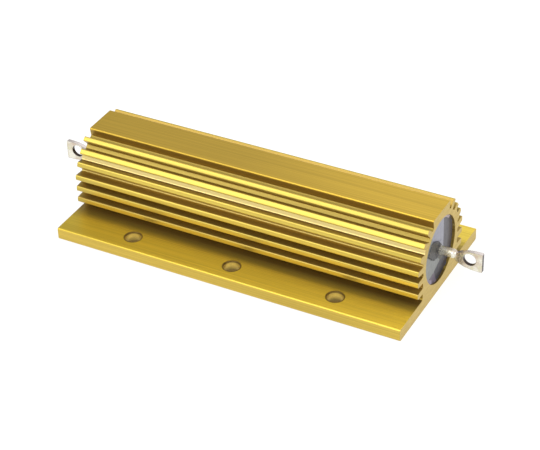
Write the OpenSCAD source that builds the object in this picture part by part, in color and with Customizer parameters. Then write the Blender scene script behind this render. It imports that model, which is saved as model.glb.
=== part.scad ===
// Chassis-mounted wirewound power resistor in a finned aluminium housing.
// Millimetres. The origin is the middle of the base, on its underside:
// +X runs along the extrusion, +Z points up from the base.

/* [Extruded housing] */
// Length of the cut extrusion
body_len = 97.7; // [80:0.1:150]
// Width over the mounting base
base_w = 47.5; // [44:0.1:60]
// Thickness of the mounting base
base_t = 3.4; // [2.6:0.1:5]
// Overall height to the flat on top
body_h = 23.6; // [22.8:0.1:26]
// Width of the flat on top
top_w = 10.3; // [9:0.1:13]
// Diameter of the bore that holds the wound element
bore_d = 18; // [17:0.1:18.6]
// Height of the bore's axis above the underside of the base
bore_z = 11.9; // [11.6:0.1:13]
// Wall between the bore and the bottoms of the grooves
wall_t = 1.45; // [1:0.05:1.6]

/* [Fins] */
// Reach of the leaning upper fins beyond the groove bottoms
upper_fin_len = 2.65; // [1.8:0.05:3.2]
// Reach of the level side fins beyond the wall
side_fin_len = 3.05; // [2:0.05:4]
// Thickness of a side fin at its root
side_root_t = 1.8; // [1.6:0.05:2.1]
// Thickness of a side fin at its tip
side_tip_t = 1.5; // [1:0.05:1.7]
// Spacing of the side fins
side_pitch = 3.4; // [3.1:0.05:3.5]
// Height of the top side fin's tip above the bore's axis
side_fin_rise = 1.15; // [0.9:0.05:1.3]
// Drop of the top side fin's root below its tip
side_fin_lean = 0.4; // [0:0.05:0.6]

/* [Edge radii] */
// Radius on fin tips and on the edges of the top flat
tip_r = 0.35; // [0.1:0.05:0.6]
// Radius at the groove bottoms
root_r = 0.3; // [0.1:0.05:0.6]
// Radius where the wall meets the base
base_fillet_r = 0.6; // [0.2:0.05:1.2]
// Radius on the upper long edges of the base
base_top_r = 0.35; // [0.1:0.05:1]
// Radius on the lower long edges of the base
base_low_r = 0.5; // [0.1:0.05:1]

/* [Mounting holes] */
// Diameter of the six screw holes
hole_d = 4.4; // [3:0.1:6]
// Distance from the middle hole to the outer holes, along the base
hole_pitch = 29; // [20:0.5:34]
// Distance between the two rows of holes
hole_rows = 37; // [35.6:0.1:38]

/* [Wound element] */
// Diameter of the ceramic core
core_d = 10; // [7:0.1:11.4]
// Distance from the cut ends of the housing to the ends of the core
core_inset = 12.85; // [11.8:0.05:20]
// Radius on the ends of the ceramic core
core_edge_r = 0.5; // [0.1:0.1:1]
// Depth of the pressed end caps
cap_len = 7; // [4:0.1:10]
// Wall of the pressed end caps
cap_t = 0.6; // [0.4:0.05:1]
// Diameter of the resistance wire
wire_d = 0.8; // [0.4:0.05:1.2]
// Turns of resistance wire
wire_turns = 16; // [8:1:24]
// Clearance between pieces that seat on each other
seat_gap = 0.03; // [0.02:0.005:0.05]

/* [Terminals] */
// Diameter of the terminal rod
rod_d = 2.4; // [1.8:0.1:3]
// Diameter of the welded head on the rod
head_d = 4.2; // [3.4:0.1:6]
// Thickness of the welded head
head_t = 0.8; // [0.4:0.1:1.5]
// Reach of the round rod beyond the cut end of the housing, up to its domed shoulder
rod_out = 3.25; // [2.4:0.05:4]
// Reach of the terminal beyond the cut end of the housing
lug_out = 11.2; // [10.6:0.1:16]
// Width of the flattened lug
lug_w = 5.3; // [5:0.1:8]
// Thickness of the flattened lug
lug_t = 1; // [0.6:0.05:1.4]
// Length over which the pressed lug spreads from the rod to its full width
flare_len = 6.4; // [5:0.1:6.6]
// Drop of the lug's middle below the bore's axis
lug_drop = 0.55; // [0:0.05:0.6]
// Diameter of the hole in the lug
lug_hole_d = 3.4; // [2:0.1:3.8]
// Distance from the middle of the hole to the end of the lug
lug_hole_end = 3.35; // [2.9:0.05:3.6]
// Drop of the lug's hole below the bore's axis
lug_hole_drop = 0.25; // [0.1:0.05:0.6]
// Radius on the outer corners of the lug
lug_corner_r = 0.2; // [0.1:0.1:1]

/* [Moulded filling] */
// Depth of the filling's face below the cut end of the housing
recess = 0.9; // [0.2:0.1:3]
// Clearance between the filling and what it is moulded around
mould_gap = 0.02; // [0.01:0.005:0.04]

/* [Hidden] */
// Corners of the leaning fins from the top down: polar angle about the bore's axis, up from
// level, and reach beyond the groove bottoms as a share of upper_fin_len
UPPER_FINS = [[58, 0], [54.4, 1], [48.8, 1], [49, 0],
              [42, 0], [39.3, 0.87], [32.4, 0.87], [33.1, 0.34], [26.3, 0.27],
              [23.2, 1], [18, 1], [11.2, 0]];
SIDE_FINS = 3;
// Polar angle at which each side of the top block meets the round wall
BLOCK_ROOT = 63;
ROUND_STEPS = 4;
FLARE_STEPS = 8;
WIRE_SIDES = 6;
WIRE_STEPS = 20;
FINE = 64;
END_MARGIN = 1;

core_len = body_len - 2 * core_inset;
groove_r = bore_d / 2 + wall_t;
side_tip_u = groove_r + side_fin_len;
cap_inner_r = core_d / 2 + seat_gap;
cap_outer_r = cap_inner_r + cap_t;
cap_face_x = core_len / 2 + seat_gap + cap_t;
cap_rim_x = cap_face_x - cap_len;
coil_r = core_d / 2 + seat_gap + wire_d / 2;
coil_half = cap_rim_x - seat_gap - wire_d / 2;
coil_space_r = coil_r + wire_d / 2 + seat_gap;
head_x = cap_face_x + seat_gap;
fill_half = body_len / 2 - recess;
rod_end_x = body_len / 2 + rod_out;
lug_root_x = rod_end_x + rod_d / 5;
lug_end_x = body_len / 2 + lug_out;
lug_hole_x = lug_end_x - lug_hole_end;

function unit(v) = v / norm(v);
function polar(r, a) = [r * cos(a), bore_z + r * sin(a)];
function reversed(list) = [for (i = [len(list) - 1:-1:0]) list[i]];

// Points of the arc that rounds corner b, between its neighbours a and c.
// The radius gives way where an edge is too short for it.
function round_corner(a, b, c, r) =
    let (to_a = unit(a - b), to_c = unit(c - b))
    let (half = acos(max(-1, min(1, to_a * to_c))) / 2)
    let (room = 0.48 * min(norm(a - b), norm(c - b)))
    let (fit_r = min(r, room * tan(half)))
    let (middle = b + unit(to_a + to_c) * fit_r / sin(half))
    let (from = b + to_a * fit_r / tan(half) - middle)
    let (to = b + to_c * fit_r / tan(half) - middle)
    let (turn = from.x * to.y - from.y * to.x < 0 ? -1 : 1)
    [for (i = [0:ROUND_STEPS])
        let (s = turn * (180 - 2 * half) * i / ROUND_STEPS)
        middle + [from.x * cos(s) - from.y * sin(s), from.x * sin(s) + from.y * cos(s)]];

// Closed outline with every corner rounded; corners are [u, z, radius].
function rounded(corners) =
    [for (i = [0:len(corners) - 1])
        let (a = corners[(i + len(corners) - 1) % len(corners)])
        let (b = corners[i])
        let (c = corners[(i + 1) % len(corners)])
        each (b[2] == 0 ? [[b.x, b.y]]
            : round_corner([a.x, a.y], [b.x, b.y], [c.x, c.y], b[2]))];

function with_r(p, r) = [p.x, p.y, r];

function upper_fin_corner(c) =
    with_r(polar(groove_r + upper_fin_len * c[1], c[0]), c[1] > 0.5 ? tip_r : root_r);

function side_fin(i) =
    let (tip_z = bore_z + side_fin_rise - i * side_pitch)
    let (root_z = tip_z - (i == 0 ? side_fin_lean : 0))
    [[groove_r, root_z + side_root_t / 2, root_r], [side_tip_u, tip_z + side_tip_t / 2, tip_r],
     [side_tip_u, tip_z - side_tip_t / 2, tip_r], [groove_r, root_z - side_root_t / 2, root_r]];

// Right half of the section, from the top flat down to the base.
half_section = concat(
    [[top_w / 2, body_h, tip_r], with_r(polar(groove_r, BLOCK_ROOT), root_r)],
    [for (c = UPPER_FINS) upper_fin_corner(c)],
    [for (i = [0:SIDE_FINS - 1]) each side_fin(i)],
    [[groove_r, base_t, base_fillet_r], [base_w / 2, base_t, base_top_r], [base_w / 2, 0, base_low_r]]);

module along_x(length) {
    rotate([90, 0, 90]) linear_extrude(height = length, center = true) children();
}

module lying_rod(from_x, to_x, r) {
    translate([from_x, 0, bore_z]) rotate([0, 90, 0]) cylinder(h = to_x - from_x, r = r, $fn = FINE);
}

module housing() {
    color("goldenrod") difference() {
        along_x(body_len)
            polygon(rounded(concat(half_section, [for (p = reversed(half_section)) [-p.x, p.y, p[2]]])));
        lying_rod(-body_len / 2 - END_MARGIN, body_len / 2 + END_MARGIN, bore_d / 2);
        for (x = [-hole_pitch, 0, hole_pitch], y = [-hole_rows / 2, hole_rows / 2])
            translate([x, y, -END_MARGIN]) cylinder(h = base_t + 2 * END_MARGIN, d = hole_d, $fn = FINE);
    }
}

// Moulding compound: fills the bore around the element and rods.
module encapsulant() {
    color("dimgray") difference() {
        lying_rod(-fill_half, fill_half, bore_d / 2 - mould_gap);
        lying_rod(-cap_rim_x, cap_rim_x, coil_space_r + mould_gap);
        lying_rod(-cap_face_x - mould_gap, cap_face_x + mould_gap, cap_outer_r + mould_gap);
        lying_rod(-head_x - head_t - mould_gap, head_x + head_t + mould_gap, head_d / 2 + mould_gap);
        lying_rod(-fill_half - END_MARGIN, fill_half + END_MARGIN, rod_d / 2 + mould_gap);
    }
}

// Solid ceramic rod with rounded end edges.
module ceramic_core() {
    r = core_d / 2;
    h = core_len / 2;
    color("ivory") translate([0, 0, bore_z]) rotate([0, 90, 0]) rotate_extrude($fn = FINE)
        polygon(rounded([[0, -h, 0], [r, -h, core_edge_r], [r, h, core_edge_r], [0, h, 0]]));
}

// Pressed cup that grips one end of the core.
module end_cap() {
    color("silver") difference() {
        lying_rod(cap_rim_x, cap_face_x, cap_outer_r);
        lying_rod(cap_rim_x - END_MARGIN, cap_face_x - cap_t, cap_inner_r);
    }
}

module end_cap_left() {
    mirror([1, 0, 0]) end_cap();
}

module end_cap_right() {
    end_cap();
}

// One ring of the wire, square to its path, at angle a along the coil.
function wire_ring(a) =
    let (turn_angle = 360 * wire_turns)
    let (out = [0, cos(a), sin(a)])
    let (along = unit([2 * coil_half / (turn_angle * PI / 180), -coil_r * sin(a), coil_r * cos(a)]))
    let (side = cross(along, out))
    let (middle = [-coil_half + 2 * coil_half * a / turn_angle, 0, bore_z] + coil_r * out)
    [for (k = [0:WIRE_SIDES - 1])
        let (s = 360 * k / WIRE_SIDES)
        middle + wire_d / 2 * (cos(s) * out + sin(s) * side)];

// Resistance wire wound along the core, from cap to cap.
module resistance_winding() {
    n = wire_turns * WIRE_STEPS;
    points = [for (i = [0:n]) each wire_ring(360 * i / WIRE_STEPS)];
    walls = [for (i = [0:n - 1], k = [0:WIRE_SIDES - 1])
        let (a = i * WIRE_SIDES, b = a + WIRE_SIDES, m = (k + 1) % WIRE_SIDES)
        each [[a + k, b + k, b + m], [a + k, b + m, a + m]]];
    start = [for (k = [0:WIRE_SIDES - 1]) k];
    end = [for (k = [WIRE_SIDES - 1:-1:0]) n * WIRE_SIDES + k];
    color("lightsteelblue") polyhedron(points, concat(walls, [start, end]));
}

// Side view of the lug about its middle: it spreads from inside the rod's shoulder as half an
// ellipse, then runs parallel to its square end.
module lug_outline() {
    upper = [for (i = [1:FLARE_STEPS])
        let (a = 90 * i / FLARE_STEPS)
        [lug_root_x + flare_len * (1 - cos(a)), lug_w / 2 * sin(a), 0]];
    polygon(rounded(concat(
        [[lug_root_x, 0, 0]], upper,
        [[lug_end_x, lug_w / 2, lug_corner_r], [lug_end_x, -lug_w / 2, lug_corner_r]],
        [for (p = reversed(upper)) [p.x, -p.y, 0]])));
}

// Round rod from its welded head to the domed shoulder where the lug is pressed out of it.
module terminal_rod() {
    r = rod_d / 2;
    steps = 5;
    translate([0, 0, bore_z]) rotate([0, 90, 0]) rotate_extrude($fn = FINE)
        polygon(concat([[0, head_x], [head_d / 2, head_x], [head_d / 2, head_x + head_t], [r, head_x + head_t]],
            [for (i = [0:steps]) [r * cos(90 * i / steps), rod_end_x + r * sin(90 * i / steps)]]));
}

// Tinned rod with a welded head inside and a flattened, pierced lug outside.
module terminal() {
    color("lightgray") {
        terminal_rod();
        difference() {
            translate([0, lug_t / 2, bore_z - lug_drop]) rotate([90, 0, 0])
                linear_extrude(height = lug_t) lug_outline();
            translate([lug_hole_x, 0, bore_z - lug_hole_drop]) rotate([90, 0, 0])
                cylinder(h = lug_t + 2 * END_MARGIN, d = lug_hole_d, center = true, $fn = FINE);
        }
    }
}

module terminal_left() {
    mirror([1, 0, 0]) terminal();
}

module terminal_right() {
    terminal();
}

housing();
encapsulant();
ceramic_core();
resistance_winding();
end_cap_left();
end_cap_right();
terminal_left();
terminal_right();
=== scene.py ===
"""Looks for a chassis-mounted power resistor: camera, light, materials and the moulded end faces."""
import math

import bmesh
import bpy
from mathutils import Matrix, Vector, noise


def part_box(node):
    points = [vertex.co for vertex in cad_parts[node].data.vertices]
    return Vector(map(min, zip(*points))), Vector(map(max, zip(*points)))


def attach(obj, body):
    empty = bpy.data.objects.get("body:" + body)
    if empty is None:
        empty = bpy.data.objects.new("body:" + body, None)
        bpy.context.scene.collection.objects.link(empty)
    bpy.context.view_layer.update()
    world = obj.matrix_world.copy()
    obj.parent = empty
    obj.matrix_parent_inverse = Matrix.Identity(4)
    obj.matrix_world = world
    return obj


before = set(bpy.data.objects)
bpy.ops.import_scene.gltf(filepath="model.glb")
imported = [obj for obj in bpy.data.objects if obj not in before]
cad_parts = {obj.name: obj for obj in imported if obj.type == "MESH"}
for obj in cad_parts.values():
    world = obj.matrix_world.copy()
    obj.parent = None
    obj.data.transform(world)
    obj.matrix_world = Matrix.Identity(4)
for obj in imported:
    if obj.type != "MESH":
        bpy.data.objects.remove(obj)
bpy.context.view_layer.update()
MM = 0.001

# Camera, in metres and degrees
CAMERA_AT = Vector((0.18480, -0.33516, 0.27192))
CAMERA_AZIMUTH = 28.712
CAMERA_ELEVATION = 34.957
CAMERA_ROLL = -1.616
CAMERA_LENS = 120.28
# Floor and studio: size and drop of the floor in metres, its greys and glow, and how much
# darker the room is behind the object
FLOOR_SIZE = 6
FLOOR_DROP = 0.00003
PAPER_GREY = (0.8, 0.8, 0.8, 1)
SHADOW_GREY = (0.30, 0.30, 0.30, 1)
FLOOR_GLOW = 0.74
ROOM_SHADE = 0.65
# Lamps: name, place and size in metres, power in watts
LAMPS = (("key", (-0.30, -0.70, 0.78), 1.0, 6.6), ("fill", (0.9, -0.2, 0.5), 0.5, 3.0))


def make_camera():
    """Camera turned by its azimuth, elevation and roll."""
    az, el = math.radians(CAMERA_AZIMUTH), math.radians(CAMERA_ELEVATION)
    forward = Vector((-math.sin(az) * math.cos(el), math.cos(az) * math.cos(el), -math.sin(el)))
    level = forward.cross(Vector((0, 0, 1))).normalized()
    roll = Matrix.Rotation(math.radians(-CAMERA_ROLL), 3, forward)
    right = roll @ level
    up = right.cross(forward)
    cam = bpy.data.objects.new("camera", bpy.data.cameras.new("camera"))
    cam.data.lens = CAMERA_LENS
    cam.data.clip_start = 0.01
    turn = Matrix((right, up, -forward)).transposed().to_4x4()
    cam.matrix_world = Matrix.Translation(CAMERA_AT) @ turn
    bpy.context.scene.collection.objects.link(cam)
    bpy.context.scene.camera = cam


class Nodes:
    """Short forms for building one material's node tree."""

    def __init__(self, name, tree=None):
        self.material = None
        if tree is None:
            self.material = bpy.data.materials.new(name)
            self.material.use_nodes = True
            tree = self.material.node_tree
        self.tree = tree
        tree.nodes.clear()

    def add(self, kind, inputs=None, **settings):
        node = self.tree.nodes.new("ShaderNode" + kind)
        for key, value in settings.items():
            setattr(node, key, value)
        for key, value in (inputs or {}).items():
            if hasattr(value, "is_output"):
                self.tree.links.new(value, node.inputs[key])
            else:
                node.inputs[key].default_value = value
        return node

    def math(self, operation, a, b=0.0, clamp=False):
        return self.add("Math", {0: a, 1: b}, operation=operation, use_clamp=clamp).outputs[0]

    def mix(self, factor, a, b, blend="MIX"):
        node = self.add("Mix", {"Factor": factor}, data_type="RGBA", blend_type=blend)
        for key, value in ((6, a), (7, b)):
            if hasattr(value, "is_output"):
                self.tree.links.new(value, node.inputs[key])
            else:
                node.inputs[key].default_value = value
        return node.outputs[2]

    def ramp(self, value, low, high):
        return self.add("MapRange", {"Value": value, "From Min": low, "From Max": high}).outputs[0]

    def noise(self, vector, scale, detail=3.0, rough=0.55):
        inputs = {"Vector": vector, "Scale": scale, "Detail": detail, "Roughness": rough}
        return self.add("TexNoise", inputs).outputs["Fac"]

    def stretched(self, vector, x, y, z):
        return self.add("Mapping", {"Vector": vector, "Scale": (x, y, z)}).outputs[0]

    def finish(self, colour, rough, normal, metallic=0.0):
        """Principled surface of the material, which is returned."""
        inputs = {"Base Color": colour, "Roughness": rough, "Metallic": metallic, "Normal": normal}
        self.add("OutputMaterial", {"Surface": self.add("BsdfPrincipled", inputs).outputs[0]})
        return self.material


def make_stage():
    """White floor that keeps the shadow, white world and soft lamps."""
    bpy.ops.mesh.primitive_grid_add(x_subdivisions=8, y_subdivisions=8, size=FLOOR_SIZE,
                                    location=(0, 0, -FLOOR_DROP))
    floor = bpy.context.object
    floor.name = "floor"
    n = Nodes("floor")
    path = n.add("LightPath").outputs
    seen = n.math("ADD", n.math("ADD", path["Is Camera Ray"], path["Is Glossy Ray"]),
                  path["Is Transmission Ray"], clamp=True)
    paper = n.add("BsdfDiffuse", {"Color": PAPER_GREY}).outputs[0]
    shade = n.add("BsdfDiffuse", {"Color": SHADOW_GREY}).outputs[0]
    glow = n.add("Emission", {"Color": (1, 1, 1, 1), "Strength": FLOOR_GLOW}).outputs[0]
    white = n.add("AddShader", {0: shade, 1: glow}).outputs[0]
    both = n.add("MixShader", {0: seen, 1: paper, 2: white}).outputs[0]
    n.add("OutputMaterial", {"Surface": both})
    floor.data.materials.append(n.material)

    world = bpy.data.worlds.new("studio")
    world.use_nodes = True
    bpy.context.scene.world = world
    bpy.context.scene.view_settings.view_transform = "Standard"
    w = Nodes("studio", world.node_tree)
    path = w.add("LightPath").outputs
    way = w.add("TexCoord").outputs["Generated"]
    split = w.add("SeparateXYZ", {"Vector": way}).outputs
    # The studio is darker behind the object on the left, which the flat top reflects
    side = w.ramp(split["X"], -0.52, -0.28)
    behind = w.math("MULTIPLY", w.ramp(split["Y"], 0.1, 0.5), w.math("SUBTRACT", 1.0, side))
    level = w.math("SUBTRACT", 1.0, w.math("MULTIPLY", behind, ROOM_SHADE))
    room = w.add("Background", {"Color": (1, 1, 1, 1), "Strength": level}).outputs[0]
    seen = w.math("ADD", path["Is Camera Ray"], path["Is Transmission Ray"], clamp=True)
    clear = w.add("Background", {"Color": (1, 1, 1, 1), "Strength": 1.0}).outputs[0]
    w.add("OutputWorld", {"Surface": w.add("MixShader", {0: seen, 1: room, 2: clear}).outputs[0]})

    for name, place, size, power in LAMPS:
        add_lamp(name, place, size, power)


def add_lamp(name, at, size, power):
    lamp = bpy.data.lights.new(name, "AREA")
    lamp.size = size
    lamp.energy = power
    obj = bpy.data.objects.new(name, lamp)
    obj.location = at
    obj.rotation_euler = (Vector((0, 0, 0.01)) - Vector(at)).to_track_quat("-Z", "Y").to_euler()
    bpy.context.scene.collection.objects.link(obj)


# Gold anodised tones, as linear base colours, many with painted light and shade: shaded grooves, ledge, fin
# roots and hole rims, lit shelf, low groove and hole walls, and lighter right ends of base and top
TIP_HIGH = (0.62, 0.470, 0.085, 1)
TIP_LOW = (0.48, 0.350, 0.065, 1)
TOP_LEFT = (0.60, 0.395, 0.048, 1)
TOP_RIGHT = (0.70, 0.460, 0.052, 1)
BASE_LEFT = (0.66, 0.475, 0.048, 1)
BASE_RIGHT = (0.95, 0.710, 0.090, 1)
FRONT_GOLD = (0.60, 0.425, 0.070, 1)
SHELF_HIGHLIGHT = (0.80, 0.640, 0.250, 1)
HOLE_WALL_LIT = (0.86, 0.620, 0.130, 1)
GROOVE_FLOOR_SHADE = (0.34, 0.25, 0.050, 1)
GROOVE_LIT = (0.60, 0.460, 0.140, 1)
GROOVE_SHADE = (0.41, 0.272, 0.055, 1)
LEDGE_SHADE = (0.12, 0.065, 0.010, 1)
SHADE_BROWN = (0.24, 0.160, 0.040, 1)
SAWN_DARK = (0.49, 0.360, 0.105, 1)
SAWN_PALE = (0.60, 0.450, 0.150, 1)
# Section of the extrusion, in mm: bore axis height, groove bottom, shelf and fin reach from that axis
AXIS_Z = 11.9
GROOVE_R = 10.45
SHELF_R = 11.6
FIN_R = 12.6
# Heights of the base's upper face, three parts between the fins, and the top flat
BASE_TOP = 3.4
LOW_GROOVE_Z = 13.8
LEDGE_Z = 16.95
SHELF_Z = 17.2
TOP_Z = 23.4
# Where the base's long sides and the cut ends begin, and how far out the fins' shade reaches
BASE_SIDE = 23.4
CUT_END = 48.7
ROOT_SHADE = (18.0, 12.6)
# Screw holes: radius, spacing along the base, distance of a row from the middle, lit depth
HOLE_R = 2.2
HOLE_PITCH = 29.0
HOLE_ROW = 18.5
HOLE_LIT = (2.2, 0.8)
# Middle of the lug's hole, in mm out from the middle of the part and up from the base
LUG_HOLE = (56.70, 11.65)


def section_masks(n, at):
    """Masks over the extrusion's section, mostly for painted light and shade: fin tips, grooves, base, holes,
    top flat and cut ends.
    """
    mm = n.add("VectorMath", {0: at, 3: 1000.0}, operation="SCALE").outputs[0]
    place = n.add("SeparateXYZ", {"Vector": mm}).outputs
    facing = n.add("SeparateXYZ", {"Vector": n.add("NewGeometry").outputs["Normal"]}).outputs
    up = n.math("SUBTRACT", place["Z"], AXIS_Z)
    radius = n.math("SQRT", n.math("ADD", n.math("MULTIPLY", place["Y"], place["Y"]),
                                   n.math("MULTIPLY", up, up)))
    out = n.math("DIVIDE", n.math("ADD", n.math("MULTIPLY", facing["Y"], place["Y"]),
                                  n.math("MULTIPLY", facing["Z"], up)), radius)
    tip = n.math("MULTIPLY", n.ramp(out, 0.25, 0.5), n.ramp(radius, GROOVE_R + 1.0, FIN_R - 0.4))
    # Groove bottoms, which carry painted shade
    bottom = n.math("MULTIPLY", n.ramp(out, 0.8, 0.95), n.ramp(radius, GROOVE_R + 0.8, GROOVE_R + 0.2))
    base = n.ramp(place["Z"], BASE_TOP + 0.7, BASE_TOP + 0.1)
    # Painted shadow of the fins on the base near their roots
    root = n.math("MULTIPLY", base, n.ramp(n.math("ABSOLUTE", place["Y"]), *ROOT_SHADE))
    top = n.ramp(place["Z"], TOP_Z - 0.5, TOP_Z)
    length = n.math("ABSOLUTE", place["X"])
    front = n.math("MULTIPLY", n.ramp(place["Z"], BASE_TOP - 0.1, BASE_TOP - 0.3),
                   n.ramp(n.math("ABSOLUTE", place["Y"]), BASE_SIDE - 0.4, BASE_SIDE))
    # Groove bottom between the lowest leaning fin and the first side fin, painted lighter as if lit
    from_groove = n.math("ABSOLUTE", n.math("SUBTRACT", place["Z"], LOW_GROOVE_Z))
    low_groove = n.math("MULTIPLY", n.ramp(from_groove, 0.45, 0.25),
                        n.ramp(radius, GROOVE_R + 0.5, GROOVE_R + 0.1))
    # Upper flank of the lowest leaning fin, painted shade, darker towards its root
    ledge = n.math("MULTIPLY", n.ramp(n.math("ABSOLUTE", n.math("SUBTRACT", place["Z"], LEDGE_Z)), 0.35, 0.2),
                   n.math("MULTIPLY", n.ramp(facing["Z"], 0.8, 0.95),
                          n.ramp(n.math("ABSOLUTE", place["Y"]), 12.1, 10.6)))
    # Outward wall by the shelf, which gets a painted highlight
    shelf = n.math("MULTIPLY", n.ramp(n.math("ABSOLUTE", n.math("SUBTRACT", place["Z"], SHELF_Z)), 1.2, 0.9),
                   n.math("MULTIPLY", n.ramp(out, 0.6, 0.8), n.ramp(radius, SHELF_R + 0.2, SHELF_R)))
    # Distance from the nearest hole's axis
    along = n.math("MINIMUM", length, n.math("ABSOLUTE", n.math("SUBTRACT", length, HOLE_PITCH)))
    across = n.math("SUBTRACT", n.math("ABSOLUTE", place["Y"]), HOLE_ROW)
    from_hole = n.math("SQRT", n.math("ADD", n.math("MULTIPLY", along, along),
                                      n.math("MULTIPLY", across, across)))
    hole = n.math("MULTIPLY", base, n.ramp(from_hole, HOLE_R + 0.10, HOLE_R + 0.02))
    # Dark ring of painted shade round each hole's edge
    rim = n.math("MULTIPLY", n.math("MULTIPLY", base, n.ramp(place["Z"], BASE_TOP - 0.6, BASE_TOP - 0.3)),
                 n.math("MULTIPLY", n.ramp(from_hole, HOLE_R - 0.2, HOLE_R - 0.1),
                        n.ramp(from_hole, HOLE_R + 0.40, HOLE_R + 0.20)))
    cut = n.math("MULTIPLY", n.ramp(n.math("ABSOLUTE", facing["X"]), 0.75, 0.95),
                 n.ramp(length, CUT_END - 0.4, CUT_END))
    return {"tip": tip, "bottom": bottom, "base": base, "root": root, "top": top, "cut": cut,
            "front": front, "shelf": shelf, "ledge": ledge, "low_groove": low_groove,
            "hole": hole, "rim": rim, "place": place}


def gold_anodised():
    """Satin gold anodised extrusion: bright fins, painted shade in the grooves and round the fin roots and
    holes, painted light on the shelf, low groove, upper hole walls and right end, die lines along X, paler
    sawn ends.
    """
    n = Nodes("gold_anodised_aluminium")
    at = n.add("TexCoord").outputs["Object"]
    mask = section_masks(n, at)
    die_lines = n.noise(n.stretched(at, 12, 2600, 2600), 1.0, 4.0, 0.6)
    broad = n.noise(n.stretched(at, 20, 160, 160), 1.0, 2.0)
    saw = n.noise(n.stretched(at, 50, 500, 3500), 1.0, 3.0)
    # Painted shade over the fins' flanks and, darker still, the groove bottoms
    gold = n.mix(mask["bottom"], GROOVE_SHADE, GROOVE_FLOOR_SHADE)
    # Painted light in the low groove's bottom
    gold = n.mix(mask["low_groove"], gold, GROOVE_LIT)
    # Painted shade on the ledge
    gold = n.mix(mask["ledge"], gold, LEDGE_SHADE)
    gold = n.mix(mask["tip"], gold, n.mix(n.ramp(mask["place"]["Z"], 5.5, 14.0), TIP_LOW, TIP_HIGH))
    # Painted highlight on the shelf's wall
    gold = n.mix(mask["shelf"], gold, SHELF_HIGHLIGHT)
    # Painted light: the base is lighter towards its right end
    flat = n.mix(n.ramp(mask["place"]["X"], -45, 45), BASE_LEFT, BASE_RIGHT)
    # Painted shadow near the fin roots
    flat = n.mix(mask["root"], flat, SHADE_BROWN)
    flat = n.mix(mask["front"], flat, FRONT_GOLD)
    # Painted light on the upper hole wall, painted shade lower down
    wall = n.mix(n.ramp(mask["place"]["Z"], *HOLE_LIT), HOLE_WALL_LIT, SHADE_BROWN)
    flat = n.mix(mask["hole"], flat, wall)
    # Painted shade on the hole rims
    flat = n.mix(mask["rim"], flat, SHADE_BROWN)
    gold = n.mix(mask["base"], gold, flat)
    # Painted light: the top flat is lighter towards its right end
    gold = n.mix(mask["top"], gold, n.mix(n.ramp(mask["place"]["X"], -5, 30), TOP_LEFT, TOP_RIGHT))
    shade = n.math("SUBTRACT", 1.06, n.math("MULTIPLY", n.ramp(broad, 0.3, 0.7), 0.10))
    shade = n.math("SUBTRACT", shade, n.math("MULTIPLY", n.ramp(die_lines, 0.35, 0.65), 0.20))
    grey = n.add("CombineColor", {0: shade, 1: shade, 2: shade}).outputs[0]
    gold = n.mix(1.0, gold, grey, "MULTIPLY")
    sawn = n.mix(n.ramp(saw, 0.3, 0.7), SAWN_DARK, SAWN_PALE)
    colour = n.mix(mask["cut"], gold, sawn)
    rough = n.math("ADD", n.math("MULTIPLY", die_lines, 0.16), 0.26)
    rough = n.math("ADD", rough, n.math("MULTIPLY", mask["cut"], 0.2))
    height = n.math("ADD", n.math("MULTIPLY", die_lines, n.math("SUBTRACT", 1.0, mask["cut"])),
                    n.math("MULTIPLY", saw, mask["cut"]))
    soft = n.add("Bevel", {"Radius": 0.00018}, samples=4).outputs[0]
    bump = n.add("Bump", {"Height": height, "Strength": 0.25, "Distance": 0.00006, "Normal": soft}).outputs[0]
    return n.finish(colour, rough, bump, 0.75)


# Tinned metal tones, as linear base colours, with a painted gold reflection and painted shade on the neck
TIN_PALE = (0.80, 0.78, 0.68, 1)
TIN_WARM = (0.60, 0.50, 0.40, 1)
TIN_GOLD_REFLECTION = (0.66, 0.66, 0.42, 1)
TIN_NECK_SHADE = (0.24, 0.22, 0.17, 1)
TIN_SIDE = (0.82, 0.74, 0.70, 1)
TIN_CUT = (0.055, 0.040, 0.036, 1)
TIN_ARRIS = (0.09, 0.075, 0.07, 1)


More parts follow.
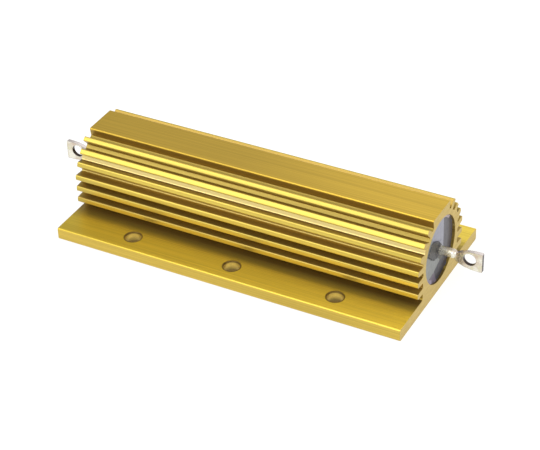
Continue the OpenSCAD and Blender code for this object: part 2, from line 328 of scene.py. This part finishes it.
def tinned_metal():
    """Tinned terminal: patchy plating with patches of painted gold reflection, painted shade on the neck,
    dark cut edges and hole.
    """
    n = Nodes("tinned_metal")
    at = n.add("TexCoord").outputs["Object"]
    mm = n.add("VectorMath", {0: at, 3: 1000.0}, operation="SCALE").outputs[0]
    place = n.add("SeparateXYZ", {"Vector": mm}).outputs
    normal = n.add("NewGeometry").outputs["Normal"]
    facing = n.add("SeparateXYZ", {"Vector": normal}).outputs
    patch = n.noise(at, 420, 3.0)
    gold_reflection_patches = n.noise(at, 900, 4.0, 0.65)
    fine = n.noise(at, 2600, 3.0)
    length = n.math("ABSOLUTE", place["X"])
    colour = n.mix(n.ramp(patch, 0.40, 0.62), TIN_PALE, TIN_WARM)
    # Painted reflection of the gold body, in patches
    colour = n.mix(n.ramp(gold_reflection_patches, 0.52, 0.68), colour, TIN_GOLD_REFLECTION)
    # Painted shade in the hollow of the neck, patchy
    neck = n.math("MULTIPLY", n.ramp(length, 53.0, 53.6), n.ramp(length, 55.6, 54.6))
    colour = n.mix(n.math("MULTIPLY", neck, n.ramp(fine, 0.3, 0.6)), colour, TIN_NECK_SHADE)
    # Cut faces: the end and the hole's wall are dark, the long edges pale between dark arrises
    blade = n.ramp(length, 52.9, 53.2)
    side = n.math("MULTIPLY", blade, n.ramp(n.math("ABSOLUTE", facing["Y"]), 0.6, 0.4))
    end = n.math("MULTIPLY", side, n.ramp(n.math("ABSOLUTE", facing["X"]), 0.9, 0.98))
    from_hole = n.add("CombineXYZ", {0: n.math("SUBTRACT", length, LUG_HOLE[0]),
                                     1: n.math("SUBTRACT", place["Z"], LUG_HOLE[1])}).outputs[0]
    from_hole = n.add("VectorMath", {0: from_hole}, operation="LENGTH").outputs["Value"]
    hole = n.math("MULTIPLY", side, n.ramp(from_hole, 1.85, 1.75))
    soft = n.add("Bevel", {"Radius": 0.00016}, samples=6).outputs[0]
    arris = n.add("VectorMath", {0: soft, 1: normal}, operation="DOT_PRODUCT").outputs["Value"]
    arris = n.math("MULTIPLY", blade, n.ramp(arris, 0.985, 0.93))
    colour = n.mix(side, colour, TIN_SIDE)
    colour = n.mix(n.math("MAXIMUM", end, hole), colour, TIN_CUT)
    colour = n.mix(n.math("MULTIPLY", arris, 0.8), colour, TIN_ARRIS)
    rough = n.math("ADD", n.math("MULTIPLY", patch, 0.25), 0.16)
    height = n.math("ADD", patch, n.math("MULTIPLY", fine, 0.3))
    bump = n.add("Bump", {"Height": height, "Strength": 0.35, "Distance": 0.00015, "Normal": soft}).outputs[0]
    return n.finish(colour, rough, bump, 0.9)


def plain_metal(name, dark, light, rough, scale):
    n = Nodes(name)
    at = n.add("TexCoord").outputs["Object"]
    grain = n.noise(at, scale, 3.0)
    colour = n.mix(grain, dark, light)
    bump = n.add("Bump", {"Height": grain, "Strength": 0.2, "Distance": 0.00005}).outputs[0]
    level = n.math("ADD", n.math("MULTIPLY", grain, 0.15), rough)
    return n.finish(colour, level, bump, 1.0)


def ceramic():
    n = Nodes("ceramic")
    at = n.add("TexCoord").outputs["Object"]
    grain = n.noise(at, 1800, 4.0)
    colour = n.mix(grain, (0.80, 0.77, 0.70, 1), (0.88, 0.86, 0.80, 1))
    bump = n.add("Bump", {"Height": grain, "Strength": 0.3, "Distance": 0.00005}).outputs[0]
    rough = n.math("ADD", n.math("MULTIPLY", grain, 0.2), 0.55)
    return n.finish(colour, rough, bump)


def moulding_compound(tinted):
    """Black moulding compound, dull to glossy; on the end faces each facet's tint paints a reflection."""
    n = Nodes("moulding_compound" + ("_face" if tinted else ""))
    at = n.add("TexCoord").outputs["Object"]
    grain = n.noise(at, 900, 4.0)
    drag = n.noise(n.stretched(at, 400, 2200, 160), 1.0, 3.0)
    if tinted:
        # The tint attribute carries the painted reflections of the end face
        tint = n.add("Attribute", attribute_name="tint").outputs["Color"]
        shade = n.math("ADD", n.math("MULTIPLY", n.math("ADD", grain, drag), 0.6), 0.4)
        grey = n.add("CombineColor", {0: shade, 1: shade, 2: shade}).outputs[0]
        colour = n.mix(1.0, tint, grey, "MULTIPLY")
    else:
        colour = n.mix(grain, (0.030, 0.028, 0.034, 1), (0.075, 0.072, 0.082, 1))
    rough = n.math("ADD", n.math("MULTIPLY", grain, 0.25), 0.28)
    height = n.math("ADD", grain, n.math("MULTIPLY", drag, 0.5))
    bump = n.add("Bump", {"Height": height, "Strength": 0.4, "Distance": 0.0001}).outputs[0]
    return n.finish(colour, rough, bump)


# The moulded end face, in mm across (y) and up (z) from the bore's axis: outline, tint (painted
# reflections), height over the flat filling, and how that height falls across and up
FACETS = (
    ("boss", ((-0.3, 2.7), (-3.6, 4.4), (-4.8, 4.1), (-6.6, 1.6), (-3.1, -1.5), (-0.6, -2.1), (0.8, -2.4),
              (1.7, -1.4), (0.9, 0.9)), (0.010, 0.009, 0.010), 0.50, 0.0, 0.0),
    ("under", ((0.8, -1.2), (3.2, -1.4), (4.6, -4.6), (1.4, -4.2), (-0.5, -2.0)),
     (0.050, 0.046, 0.030), 0.22, 0.0, 0.0),
    ("right", ((2.75, 9.5), (2.95, -1.5), (5.0, -4.5), (10, -5), (10, 9.5)),
     (0.060, 0.056, 0.068), 0.42, -0.045, 0.0),
    ("crown", ((2.75, 9.5), (2.95, -1.5), (0.9, 0.9), (-0.3, 2.7), (-3.6, 4.4), (-5.0, 9.5)),
     (0.245, 0.245, 0.290), 0.20, 0.060, 0.0),
    ("foot", ((-0.5, -9.5), (-2.1, -5.6), (0.7, -4.4), (2.0, -3.4), (10, -4.5), (10, -9.5)),
     (0.022, 0.022, 0.034), 0.12, 0.0, 0.0),
    ("toe", ((-4.9, -6.2), (-0.3, -5.4), (-1.0, -9.5), (-7.0, -9.5)),
     (0.090, 0.070, 0.105), 0.16, 0.0, 0.0),
    ("heel", ((-10, 10), (10, 10), (10, -10), (-10, -10)), (0.185, 0.195, 0.190), 0.26, 0.020, 0.015),
)
PLAIN_TINT = (0.1, 0.1, 0.1)
PLAIN_LIFT = 0.2
FACE_RINGS = 44
FACE_STEPS = 168
# Inner edge of the face round the rod, the clearance to the bore and the least height, in mm
ROD_EDGE = 1.17
BORE_GAP = 0.01
FACE_MIN = 0.04
# Collar of compound drawn up the rod: reach, height, and where and how fast it falls
COLLAR_R = 2.3
COLLAR_LIFT = 0.80
COLLAR_FLAT = 1.3
COLLAR_FALL = 0.30
# Flash along the bore: width, tints, and the arcs in degrees that are dull or carry a painted highlight
RIM_WIDTH = 0.9
RIM_DULL = (0.24, 0.21, 0.30)
RIM_HIGHLIGHT = (0.44, 0.35, 0.34)
DULL_ARC = (165, 245)
HIGHLIGHT_ARC = (42, 74)
BOSS_SPECKS = (0.20, 0.15, 0.10)
# Turn of the left face against the right one, in degrees
LEFT_SPIN = 150


def inside(outline, y, z):
    """Whether a point lies within a closed outline."""
    odd = False
    for (ay, az), (by, bz) in zip(outline, outline[1:] + outline[:1]):
        if (az > z) != (bz > z) and y < (by - ay) * (z - az) / (bz - az) + ay:
            odd = not odd
    return odd


def facet_at(y, z):
    """Tint and lift of the first facet that holds a point."""
    for _, outline, tint, lift, across, up in FACETS:
        if inside(outline, y, z):
            return Vector(tint), lift + across * y + up * z
    return Vector(PLAIN_TINT), PLAIN_LIFT


def face_point(y, z, radius, bore):
    """Tint and height of the moulded face at one point, rim and boss included."""
    wobble = noise.noise(Vector((y * 1.3, z * 1.3, 4.0)))
    tint, height = facet_at(y + 0.12 * wobble, z + 0.12 * wobble)
    specks = noise.noise(Vector((y * 3.4, z * 3.4, 9.0)))
    if height > 0.45 and specks > 0.25:
        tint = tint + Vector(BOSS_SPECKS) * (specks - 0.25) * 2
    if radius < COLLAR_R:
        height = max(height, COLLAR_LIFT - COLLAR_FALL * max(radius - COLLAR_FLAT, 0.0))
    edge = radius - (bore - RIM_WIDTH)
    if edge > 0:
        flash = noise.noise(Vector((y * 0.9, z * 0.9, 1.7)))
        height += (0.12 + 0.30 * max(flash, 0.0)) * (edge / RIM_WIDTH) ** 2
        turn = math.degrees(math.atan2(z, y)) % 360
        if DULL_ARC[0] < turn < DULL_ARC[1]:
            tint = tint.lerp(Vector(RIM_DULL), 0.75)
        # Painted highlight on the flash
        elif HIGHLIGHT_ARC[0] < turn < HIGHLIGHT_ARC[1] and edge > 0.1:
            tint = tint.lerp(Vector(RIM_HIGHLIGHT), 0.8)
    return tint, height + 0.02 * wobble


def moulded_face(side, material):
    """The uneven, faceted end of the filling, laid over the plain CAD filling inside the bore."""
    (x0, y0, z0), (x1, y1, z1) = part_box("encapsulant")
    bore = (y1 - y0) / 2 / MM
    out = 1 if side == "right" else -1
    flat, axis_z = (x1 if out > 0 else x0), (z0 + z1) / 2
    spin = 0.0 if out > 0 else math.radians(LEFT_SPIN)
    mesh = bmesh.new()
    rings, tints = [], []
    for i in range(FACE_RINGS + 1):
        radius = ROD_EDGE + (bore - BORE_GAP - ROD_EDGE) * i / FACE_RINGS
        ring = []
        for j in range(FACE_STEPS):
            turn = 2 * math.pi * j / FACE_STEPS
            y, z = radius * math.cos(turn), radius * math.sin(turn)
            tint, height = face_point(y, z, radius, bore)
            turn = turn * out + spin
            at = (flat + out * max(height, FACE_MIN) * MM, radius * math.cos(turn) * MM,
                  axis_z + radius * math.sin(turn) * MM)
            ring.append(mesh.verts.new(at))
            tints.append(tint)
        rings.append(ring)
    for inner, outer in zip(rings, rings[1:]):
        for j in range(FACE_STEPS):
            k = (j + 1) % FACE_STEPS
            mesh.faces.new((inner[j], outer[j], outer[k], inner[k]))
    bmesh.ops.recalc_face_normals(mesh, faces=mesh.faces)
    if mesh.faces[0].normal.x * out < 0:
        bmesh.ops.reverse_faces(mesh, faces=mesh.faces)
    data = bpy.data.meshes.new("compound_face_" + side)
    mesh.to_mesh(data)
    mesh.free()
    layer = data.color_attributes.new("tint", "FLOAT_COLOR", "POINT")
    for entry, tint in zip(layer.data, tints):
        entry.color = (tint[0], tint[1], tint[2], 1.0)
    data.materials.append(material)
    piece = bpy.data.objects.new("compound_face_" + side, data)
    bpy.context.scene.collection.objects.link(piece)
    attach(piece, "root")
    return piece


def dress(node, material):
    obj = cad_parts[node]
    obj.data.materials.clear()
    obj.data.materials.append(material)


def main():
    make_camera()
    make_stage()
    gold = gold_anodised()
    tin = tinned_metal()
    steel = plain_metal("plated_steel", (0.55, 0.55, 0.55, 1), (0.68, 0.68, 0.67, 1), 0.3, 1500)
    alloy = plain_metal("resistance_alloy", (0.36, 0.34, 0.32, 1), (0.48, 0.46, 0.43, 1), 0.3, 2500)
    compound = moulding_compound(False)
    face = moulding_compound(True)
    dress("housing", gold)
    dress("encapsulant", compound)
    dress("ceramic_core", ceramic())
    dress("resistance_winding", alloy)
    for side in ("left", "right"):
        dress("end_cap_" + side, steel)
        dress("terminal_" + side, tin)
        moulded_face(side, face)


main()
